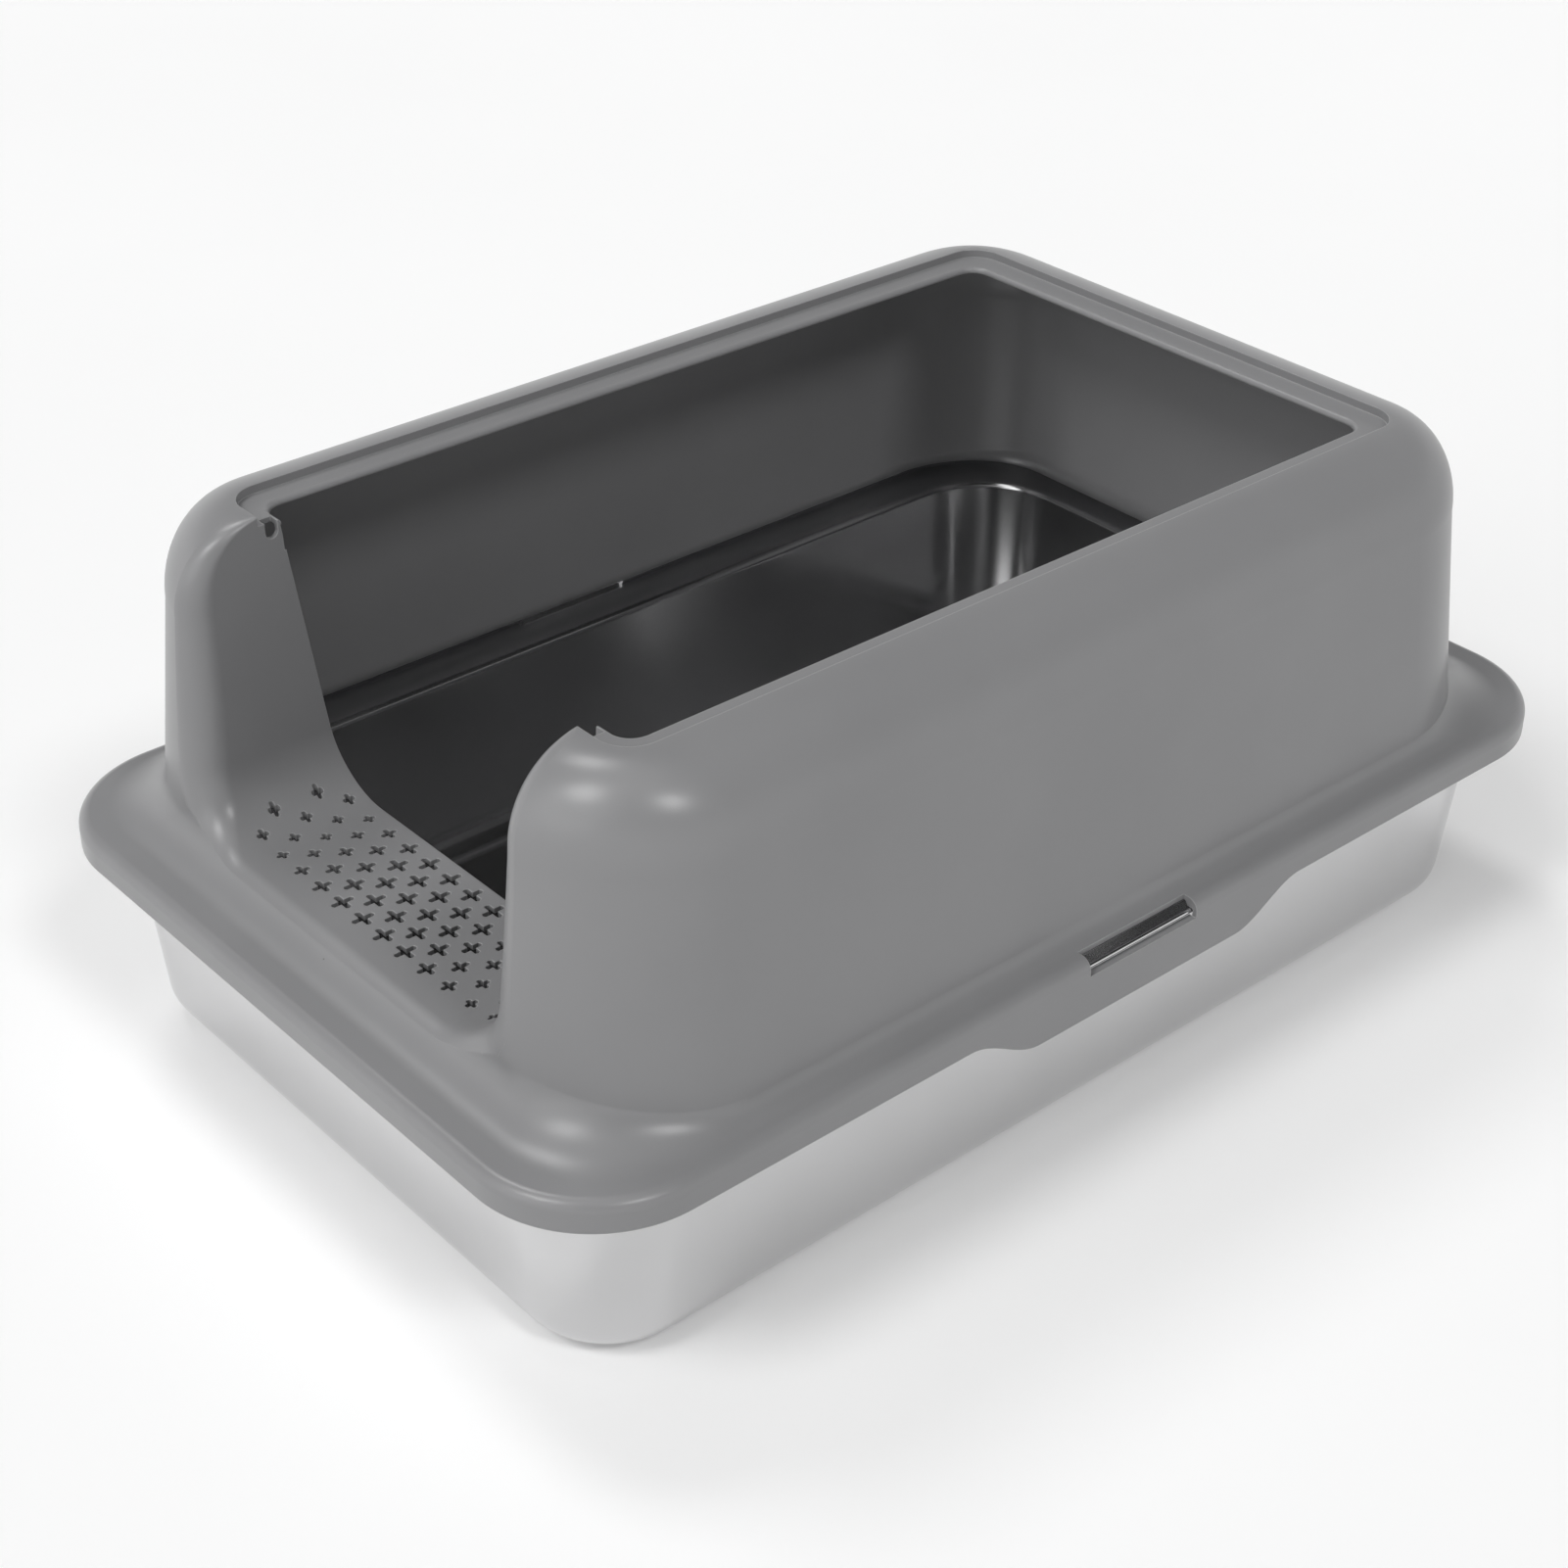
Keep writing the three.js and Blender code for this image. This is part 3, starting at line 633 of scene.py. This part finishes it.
# %% Cut and join
def combined(base, steps):
    """Runs Boolean modifiers on `base` and returns the result as a new mesh."""
    for operation, other in steps:
        modifier = base.modifiers.new(other.name, "BOOLEAN")
        modifier.operation = operation
        modifier.solver = "MANIFOLD"
        modifier.object = other
    for obj in [base, *[other for _, other in steps]]:
        if obj.name not in bpy.context.scene.collection.objects:
            bpy.context.scene.collection.objects.link(obj)
    graph = bpy.context.evaluated_depsgraph_get()
    mesh = bpy.data.meshes.new_from_object(base.evaluated_get(graph))
    for obj in [base, *[other for _, other in steps]]:
        bpy.data.objects.remove(obj)
    return mesh


hollow_mesh = combined(inner_hollow(), [("DIFFERENCE", channel("channel_plastic", WALL, free_edge))])
hollow = bpy.data.objects.new("hollow", hollow_mesh)
enclosure_mesh = combined(outer_body(), [
    ("DIFFERENCE", channel("entrance_channel", 0.0, inner_overrun)),
    ("DIFFERENCE", hollow),
    ("DIFFERENCE", rebate()),
    ("DIFFERENCE", top_opening()),
    *[("DIFFERENCE", notch) for notch in jamb_notches()],
    ("DIFFERENCE", step_holes()),
    *[("UNION", piece) for piece in [*snap_tabs(), *snap_hooks()]],
    ("DIFFERENCE", slot_windows()),
])
enclosure = bpy.data.objects.new("moulded_enclosure", enclosure_mesh)
print("enclosure faces:", len(enclosure_mesh.polygons))

# %% Smooth shading with real creases kept
CREASE_ANGLE = np.radians(28)
for piece in (pan, enclosure):
    bpy.context.scene.collection.objects.link(piece)
    piece.data.shade_smooth()
    piece.data.set_sharp_from_angle(angle=CREASE_ANGLE)
    weighted = piece.modifiers.new("weighted_normals", "WEIGHTED_NORMAL")
    weighted.keep_sharp = True

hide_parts("steel_pan")
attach(pan, "pan")
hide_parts("enclosure")
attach(enclosure, "enclosure")

# %% [markdown]
# ## Finishes
# The effects are node groups, each built once and placed in a material with its own values:
# a soft variation that keeps a large surface from looking flat, a fine grain that breaks up
# the light, specks of dust, and edges that are rounded and lightened by a painted highlight.
# They only put out values, masks and normals, so every material keeps its own shader.

# %% Helpers for nodes
def new_group(name, inputs, outputs):
    """A shader node group with named number sockets; inputs are (name, default)."""
    group = bpy.data.node_groups.new(name, "ShaderNodeTree")
    for socket, value in inputs:
        made = group.interface.new_socket(socket, in_out="INPUT", socket_type="NodeSocketFloat")
        made.default_value = value
    for socket in outputs:
        group.interface.new_socket(socket, in_out="OUTPUT", socket_type="NodeSocketFloat")
    return group, group.nodes.new("NodeGroupInput"), group.nodes.new("NodeGroupOutput")


def add(tree, kind, values=None, **settings):
    """A new node, with its settings and the values of its named or numbered inputs."""
    node = tree.nodes.new(kind)
    for key, value in settings.items():
        setattr(node, key, value)
    for key, value in (values or {}).items():
        node.inputs[key].default_value = value
    return node


# %% Soft variation
# A slow noise, spread to run from Low to High.
variation, inside, outside = new_group(
    "soft_variation", [("Scale", 8.0), ("Low", 0.0), ("High", 1.0)], ["Value"],
)
place = add(variation, "ShaderNodeTexCoord")
noise = add(variation, "ShaderNodeTexNoise", {"Detail": 3.0, "Roughness": 0.55})
spread = add(
    variation, "ShaderNodeMapRange", {"From Min": 0.2, "From Max": 0.8},
    interpolation_type="SMOOTHSTEP",
)
variation.links.new(place.outputs["Object"], noise.inputs["Vector"])
variation.links.new(inside.outputs["Scale"], noise.inputs["Scale"])
variation.links.new(noise.outputs["Fac"], spread.inputs["Value"])
variation.links.new(inside.outputs["Low"], spread.inputs["To Min"])
variation.links.new(inside.outputs["High"], spread.inputs["To Max"])
variation.links.new(spread.outputs["Result"], outside.inputs["Value"])

# %% Fine grain
# A quick noise for a bump. A Stretch under 1 draws it out along the box.
grain, inside, outside = new_group("fine_grain", [("Scale", 1500.0), ("Stretch", 1.0)], ["Height"])
place = add(grain, "ShaderNodeTexCoord")
squeeze = add(grain, "ShaderNodeCombineXYZ", {"X": 1.0, "Z": 1.0})
stretched = add(grain, "ShaderNodeVectorMath", operation="MULTIPLY")
noise = add(grain, "ShaderNodeTexNoise", {"Detail": 2.0, "Roughness": 0.5})
grain.links.new(inside.outputs["Stretch"], squeeze.inputs["Y"])
grain.links.new(place.outputs["Object"], stretched.inputs[0])
grain.links.new(squeeze.outputs["Vector"], stretched.inputs[1])
grain.links.new(stretched.outputs["Vector"], noise.inputs["Vector"])
grain.links.new(inside.outputs["Scale"], noise.inputs["Scale"])
grain.links.new(noise.outputs["Fac"], outside.inputs["Height"])

# %% Dust specks
# A Voronoi pattern cuts space into cells with one point each. A few of the cells, picked by
# their random colour, show a speck round their point.
specks, inside, outside = new_group(
    "dust_specks", [("Scale", 60.0), ("Size", 0.02), ("Share", 0.05)], ["Mask"],
)
place = add(specks, "ShaderNodeTexCoord")
cells = add(specks, "ShaderNodeTexVoronoi")
near_point = add(specks, "ShaderNodeMath", operation="LESS_THAN")
picked = add(specks, "ShaderNodeMath", operation="LESS_THAN")
both = add(specks, "ShaderNodeMath", operation="MULTIPLY")
one_channel = add(specks, "ShaderNodeSeparateColor")
specks.links.new(place.outputs["Object"], cells.inputs["Vector"])
specks.links.new(inside.outputs["Scale"], cells.inputs["Scale"])
specks.links.new(cells.outputs["Distance"], near_point.inputs[0])
specks.links.new(inside.outputs["Size"], near_point.inputs[1])
specks.links.new(cells.outputs["Color"], one_channel.inputs["Color"])
specks.links.new(one_channel.outputs["Red"], picked.inputs[0])
specks.links.new(inside.outputs["Share"], picked.inputs[1])
specks.links.new(near_point.outputs["Value"], both.inputs[0])
specks.links.new(picked.outputs["Value"], both.inputs[1])
specks.links.new(both.outputs["Value"], outside.inputs["Mask"])

# %% Rounded edges with a painted highlight
# The Bevel node bends the normal near an edge as a small rounding would. How far it leaves
# the true normal, 1 - n . m, is a mask of the edges, along which the plastic paints a highlight.
edges, inside, outside = new_group("rounded_edges_painted_highlight", [("Radius", 0.0006)], ["Mask"])
edges.interface.new_socket("Normal", in_out="OUTPUT", socket_type="NodeSocketVector")
rounded = add(edges, "ShaderNodeBevel", samples=6)
surface = add(edges, "ShaderNodeNewGeometry")
likeness = add(edges, "ShaderNodeVectorMath", operation="DOT_PRODUCT")
departure = add(edges, "ShaderNodeMapRange", {"From Min": 1.0, "From Max": 0.85})
edges.links.new(inside.outputs["Radius"], rounded.inputs["Radius"])
edges.links.new(rounded.outputs["Normal"], likeness.inputs[0])
edges.links.new(surface.outputs["Normal"], likeness.inputs[1])
edges.links.new(likeness.outputs["Value"], departure.inputs["Value"])
edges.links.new(departure.outputs["Result"], outside.inputs["Mask"])
edges.links.new(rounded.outputs["Normal"], outside.inputs["Normal"])


# %% A material with its shader, and the groups placed in it
GRAIN_HEIGHT = 0.0002
GREY_BLUE = 0.005


def grey(level, blue=GREY_BLUE):
    """A linear grey with a trace of blue."""
    return level, level, level + blue, 1


def new_material(name):
    """A new material, with its node tree and its Principled shader."""
    material = bpy.data.materials.new(name)
    material.use_nodes = True
    tree = material.node_tree
    return material, tree, tree.nodes["Principled BSDF"]


def place_group(tree, group, **values):
    """Puts a node group into a material, with its own values."""
    node = tree.nodes.new("ShaderNodeGroup")
    node.node_tree = group
    for key, value in values.items():
        node.inputs[key].default_value = value
    return node


def tone(tree, shader, low, high, scale):
    """Base colour between two near greys, by the soft variation."""
    varied = place_group(tree, variation, Scale=scale)
    mix = add(tree, "ShaderNodeMix", data_type="RGBA")
    mix.inputs["A"].default_value = low
    mix.inputs["B"].default_value = high
    tree.links.new(varied.outputs["Value"], mix.inputs["Factor"])
    tree.links.new(mix.outputs["Result"], shader.inputs["Base Color"])


def overlay(tree, shader, mask, colour, amount):
    """Lays a colour over the base colour where the mask says, as strongly as `amount`."""
    below = shader.inputs["Base Color"].links[0].from_socket
    strength = add(tree, "ShaderNodeMath", {1: amount}, operation="MULTIPLY")
    mix = add(tree, "ShaderNodeMix", data_type="RGBA")
    mix.inputs["B"].default_value = colour
    tree.links.new(mask, strength.inputs[0])
    tree.links.new(strength.outputs["Value"], mix.inputs["Factor"])
    tree.links.new(below, mix.inputs["A"])
    tree.links.new(mix.outputs["Result"], shader.inputs["Base Color"])


def rough(tree, shader, low, high, scale):
    """Roughness between two values, by the soft variation."""
    varied = place_group(tree, variation, Scale=scale, Low=low, High=high)
    tree.links.new(varied.outputs["Value"], shader.inputs["Roughness"])


def grained(tree, shader, strength, below=None, **values):
    """Fine grain as a bump on the shader's normal, over the normal `below` if there is one."""
    texture = place_group(tree, grain, **values)
    bump = add(tree, "ShaderNodeBump", {"Strength": strength, "Distance": GRAIN_HEIGHT})
    tree.links.new(texture.outputs["Height"], bump.inputs["Height"])
    if below:
        tree.links.new(below, bump.inputs["Normal"])
    tree.links.new(bump.outputs["Normal"], shader.inputs["Normal"])


# %% [markdown]
# ## Grey plastic
# The moulding is a mid grey with a satin surface: the fine spark texture of the mould leaves
# a soft, even sheen. Its edges are rounded by 0.7 mm for the light alone, as the mould's own
# edges would be, and a painted highlight makes them a shade paler. A Bevel modifier could
# round them too, but it breaks where several cuts meet, and the node doesn't. A few specks of
# dust lie on it.

# %% Build the grey plastic
plastic, tree, shader = new_material("moulded_grey")
tone(tree, shader, low=grey(0.226), high=grey(0.246), scale=9.0)
# Painted highlight: along the bevel's edge mask the base colour is mixed towards a paler grey.
rounded_edge_highlight = place_group(tree, edges, Radius=0.0007)
overlay(tree, shader, rounded_edge_highlight.outputs["Mask"], colour=grey(0.5), amount=0.6)
dust = place_group(tree, specks, Scale=60.0, Size=0.022, Share=0.04)
overlay(tree, shader, dust.outputs["Mask"], colour=grey(0.07, blue=0), amount=0.7)
rough(tree, shader, low=0.285, high=0.34, scale=14.0)
grained(tree, shader, strength=0.12, below=rounded_edge_highlight.outputs["Normal"], Scale=1400.0)
shader.inputs["IOR"].default_value = 1.46

# %% [markdown]
# ## Stainless steel
# The sheet has a satin finish with faint lines along the length, from rolling. A stretched
# grain in the bump and a soft variation of the roughness give it that look. An anisotropic
# shader could do it too, but it needs a direction at every corner, and the lines are faint.

# %% Build the steel
steel, tree, shader = new_material("satin_steel")
shader.inputs["Metallic"].default_value = 1.0
tone(tree, shader, low=grey(0.6), high=grey(0.64), scale=11.0)
rough(tree, shader, low=0.16, high=0.2, scale=16.0)
grained(tree, shader, strength=0.015, Scale=900.0, Stretch=0.03)

# %% [markdown]
# ## Rubber feet
# The four pads are plain discs, so the CAD solids stay and only get a dull black rubber
# with a light, uneven bloom.

# %% Build the rubber
rubber, tree, shader = new_material("dull_rubber")
tone(tree, shader, low=grey(0.022, blue=0.001), high=grey(0.034, blue=0.001), scale=60.0)
rough(tree, shader, low=0.7, high=0.85, scale=90.0)
grained(tree, shader, strength=0.3, Scale=900.0)

# %% Give each piece its finish
pan.data.materials.append(steel)
enclosure_mesh.materials.clear()
enclosure_mesh.materials.append(plastic)
for name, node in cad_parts.items():
    if name.startswith("foot_pad"):
        node.data.materials.clear()
        node.data.materials.append(rubber)
print("finishes:", [material.name for material in (plastic, steel, rubber)])

# %% [markdown]
# ## Floor and light
# A product picture like this one stands on a white sheet under large soft lamps. The sheet
# looks a little brighter to the camera and in mirrors than its own light makes it, so it
# keeps the shadow, and nothing more falls on the object.
# The world is white at the horizon and nearly black overhead, as in a dark studio. The
# camera and mirrors see it as an even backdrop that darkens high up. The light that it
# throws is dimmer behind the camera, where nothing is lit.
# Small lamps from the front and both sides add the glows on the corners, a wide one shines
# in through the entrance, and another hangs overhead. Lamps close by would fade along the
# box, so these stand far away and light it evenly from end to end.

# %% Which rays show the background
def shown_rays(tree):
    """1 for the rays that show a thing to the camera, straight, in a mirror or through glass."""
    paths = add(tree, "ShaderNodeLightPath")
    direct = add(tree, "ShaderNodeMath", operation="MAXIMUM")
    shown = add(tree, "ShaderNodeMath", operation="MAXIMUM")
    tree.links.new(paths.outputs["Is Camera Ray"], direct.inputs[0])
    tree.links.new(paths.outputs["Is Glossy Ray"], direct.inputs[1])
    tree.links.new(direct.outputs["Value"], shown.inputs[0])
    tree.links.new(paths.outputs["Is Transmission Ray"], shown.inputs[1])
    return shown.outputs["Value"]


# %% The floor
FLOOR_HALF = 6.0
FLOOR_GLOW = 0.095
WHITE = (1, 1, 1, 1)
floor_mesh = bpy.data.meshes.new("floor")
square = np.array([[-1, -1, 0], [1, -1, 0], [1, 1, 0], [-1, 1, 0]]) * FLOOR_HALF
floor_mesh.from_pydata(square.tolist(), [], [(0, 1, 2, 3)])
floor = bpy.data.objects.new("floor", floor_mesh)
bpy.context.scene.collection.objects.link(floor)
white, tree, shader = new_material("floor_white")
tone(tree, shader, low=grey(0.855, blue=0), high=grey(0.87, blue=0), scale=2.0)
shader.inputs["Roughness"].default_value = 0.9
shader.inputs["Specular IOR Level"].default_value = 0.1
shader.inputs["Emission Color"].default_value = WHITE
glow = add(tree, "ShaderNodeMath", {1: FLOOR_GLOW}, operation="MULTIPLY")
tree.links.new(shown_rays(tree), glow.inputs[0])
tree.links.new(glow.outputs["Value"], shader.inputs["Emission Strength"])
floor_mesh.materials.append(white)

# %% The world's light
# Heights are the Z of a direction, from 0 at the horizon to 1 overhead. The dimming goes by
# how nearly a direction is the one behind the camera, from 0 at a right angle to 1.
HORIZON_LIGHT = 1.25
ZENITH_LIGHT = 0.01
LIGHT_FADES_FROM = 0.05
LIGHT_FADES_TO = 0.6
DIM_AZIMUTH = np.radians(49)
DIM_SHARE = 0.4
DIM_FROM = 0.45
DIM_TO = 0.95
world = bpy.data.worlds.new("studio")
world.use_nodes = True
bpy.context.scene.world = world
tree = world.node_tree
direction = add(tree, "ShaderNodeTexCoord")
split = add(tree, "ShaderNodeSeparateXYZ")
fade = add(tree, "ShaderNodeMapRange", {
    "From Min": LIGHT_FADES_FROM, "From Max": LIGHT_FADES_TO,
    "To Min": HORIZON_LIGHT, "To Max": ZENITH_LIGHT,
}, interpolation_type="SMOOTHSTEP")
behind = add(tree, "ShaderNodeVectorMath", operation="DOT_PRODUCT")
behind.inputs[1].default_value = (np.sin(DIM_AZIMUTH), -np.cos(DIM_AZIMUTH), 0)
dim = add(tree, "ShaderNodeMapRange", {
    "From Min": DIM_FROM, "From Max": DIM_TO, "To Min": 1.0, "To Max": DIM_SHARE,
}, interpolation_type="SMOOTHSTEP")
light = add(tree, "ShaderNodeMath", operation="MULTIPLY")
tree.links.new(direction.outputs["Generated"], split.inputs["Vector"])
tree.links.new(direction.outputs["Generated"], behind.inputs[0])
tree.links.new(behind.outputs["Value"], dim.inputs["Value"])
tree.links.new(split.outputs["Z"], fade.inputs["Value"])
tree.links.new(fade.outputs["Result"], light.inputs[0])
tree.links.new(dim.outputs["Result"], light.inputs[1])

# %% The world's backdrop
BACKDROP_LIGHT = 0.955
BACKDROP_FADES_FROM = 0.2
BACKDROP_FADES_TO = 0.55
background = tree.nodes["Background"]
background.inputs["Color"].default_value = WHITE
backdrop = add(tree, "ShaderNodeMapRange", {
    "From Min": BACKDROP_FADES_FROM, "From Max": BACKDROP_FADES_TO,
    "To Min": BACKDROP_LIGHT, "To Max": ZENITH_LIGHT,
}, interpolation_type="SMOOTHSTEP")
seen = add(tree, "ShaderNodeMix")
tree.links.new(split.outputs["Z"], backdrop.inputs["Value"])
tree.links.new(shown_rays(tree), seen.inputs["Factor"])
tree.links.new(light.outputs["Value"], seen.inputs["A"])
tree.links.new(backdrop.outputs["Result"], seen.inputs["B"])
tree.links.new(seen.outputs["Result"], background.inputs["Strength"])


# %% Directions, and things placed by them
def towards(azimuth, elevation):
    """The unit vector to a place: azimuth 0 is the front, 90 the right, elevation 90 overhead."""
    across = np.cos(elevation)
    return np.array([np.sin(azimuth) * across, -np.cos(azimuth) * across, np.sin(elevation)])


def rightwards(azimuth):
    """The level unit vector to the right of one who looks in from that azimuth."""
    return np.array([np.cos(azimuth), np.sin(azimuth), 0.0])


def stand(name, data, axes, place=(0.0, 0.0, 0.0)):
    """Links a lamp or camera into the scene, with its X, Y and Z axes and its place."""
    turned = np.eye(4)
    turned[:3] = np.stack([*axes, place], 1)
    thing = bpy.data.objects.new(name, data)
    thing.matrix_world = Matrix(turned.tolist())
    bpy.context.scene.collection.objects.link(thing)
    return thing


# %% The lamps
def softbox(name, azimuth, elevation, spread, strength):
    """A far, soft lamp, at angles in degrees. Its Z axis points at where it stands."""
    azimuth, elevation, spread = np.radians([azimuth, elevation, spread])
    data = bpy.data.lights.new(name, "SUN")
    data.angle = spread
    data.energy = strength * np.pi
    sideways = rightwards(azimuth)
    to_lamp = towards(azimuth, elevation)
    stand(name, data, [sideways, np.cross(to_lamp, sideways), to_lamp])


softbox("front_softbox", azimuth=-5, elevation=54, spread=20, strength=0.29)
softbox("entrance_softbox", azimuth=0, elevation=35, spread=50, strength=0.23)
softbox("top_softbox", azimuth=0, elevation=85, spread=50, strength=0.13)
softbox("right_softbox", azimuth=87, elevation=50, spread=14, strength=0.25)
softbox("left_softbox", azimuth=-92, elevation=61, spread=16, strength=0.2)

# %% [markdown]
# ## The camera
# Its place, turn and lens were worked out from the photograph: the straight edges and the
# outline of the part fix all of them together.

# %% The camera
AZIMUTH, ELEVATION, ROLL = np.radians([48.746, 32.383, 0.526])
CAMERA_PLACE = np.array([0.79810, -0.72685, 0.76807 + FOOT_HEIGHT * METRE])
LENS = 63.04
SENSOR = 36.0
back = towards(AZIMUTH, ELEVATION)
sideways = rightwards(AZIMUTH)
upward = np.cross(back, sideways)
right = np.cos(ROLL) * sideways + np.sin(ROLL) * upward
top = np.cos(ROLL) * upward - np.sin(ROLL) * sideways
camera_data = bpy.data.cameras.new("camera")
camera_data.lens = LENS
camera_data.sensor_width = SENSOR
bpy.context.scene.camera = stand("camera", camera_data, [right, top, back], CAMERA_PLACE)
bpy.context.scene.view_settings.view_transform = "Standard"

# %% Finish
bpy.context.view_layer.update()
